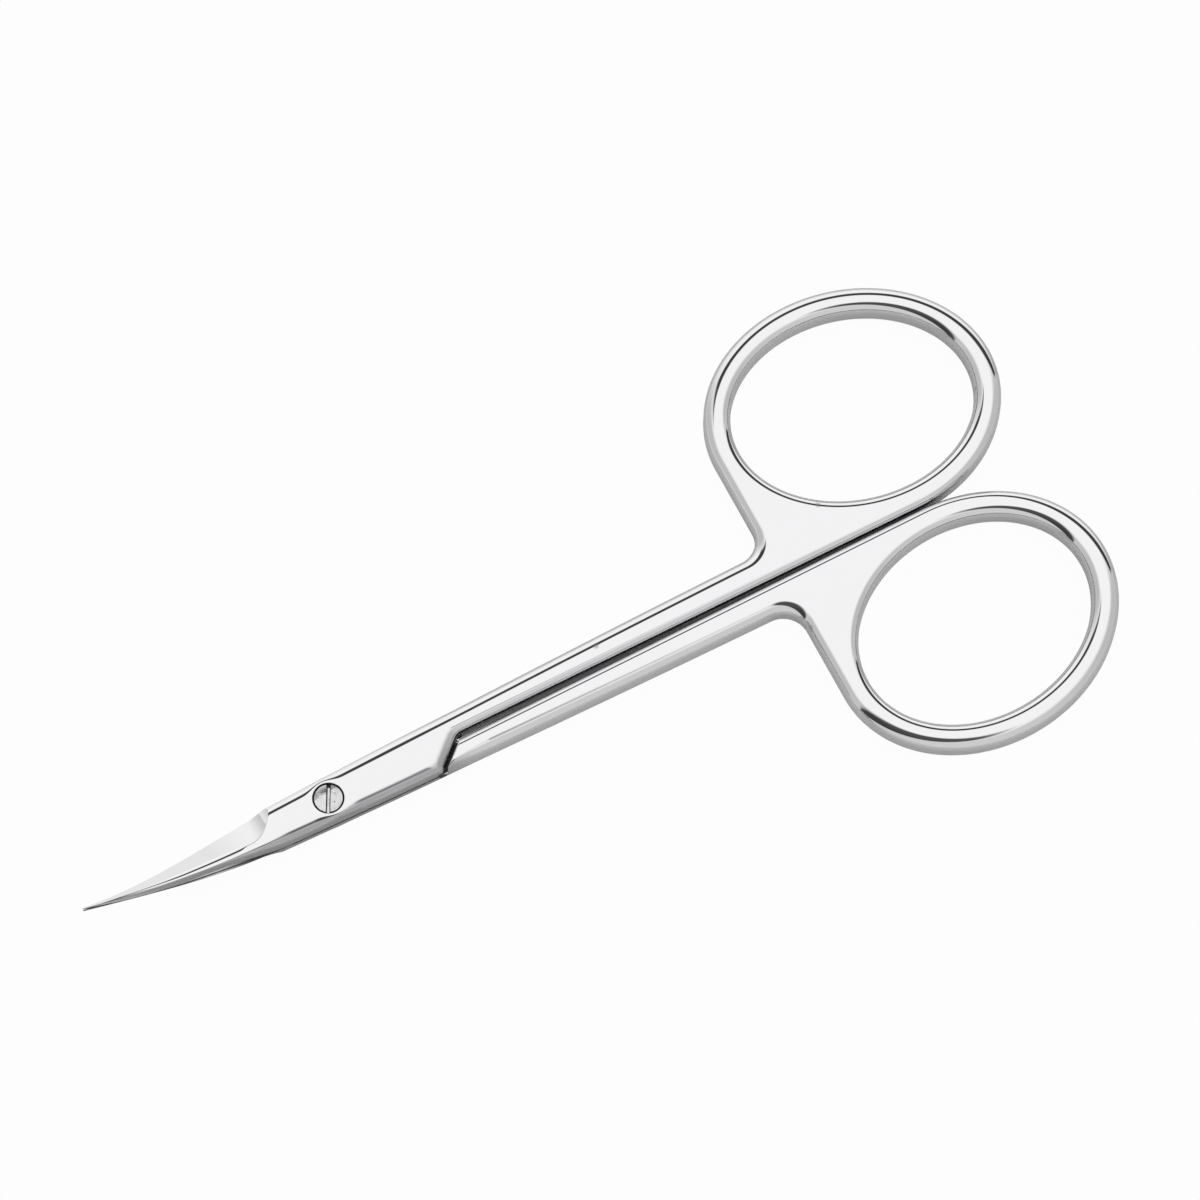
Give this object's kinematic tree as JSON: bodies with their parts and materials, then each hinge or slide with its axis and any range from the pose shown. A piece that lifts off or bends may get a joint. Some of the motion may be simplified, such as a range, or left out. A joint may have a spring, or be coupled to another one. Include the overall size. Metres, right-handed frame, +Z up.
{
  "type": "cuticle scissors",
  "caption": "Slim polished steel scissors with oval finger rings and short blades that curve up to fine points, turning on a slotted pivot screw.",
  "frame": {"origin": "on the pivot axis, at the plane that the closed scissors rest on", "axes": "+X from the pivot to the finger rings, +Y to the upper half's ring, +Z up along the pivot axis, the way the blades curve"},
  "size_m": [0.0895, 0.0428, 0.0055],
  "materials": {
    "polished_steel": "polished",
    "screw_steel": "satin"
  },
  "bodies": {
    "lower": {"lower_half": "polished_steel", "pivot_screw": "screw_steel"},
    "upper": {"upper_half": "polished_steel"}
  },
  "joints": [
    {"name": "pivot", "type": "hinge", "parent": "lower", "child": "upper", "pos_m": [0, 0, 0.0014], "axis": [0, 0, 1], "range_deg": [0, 150]}
  ]
}
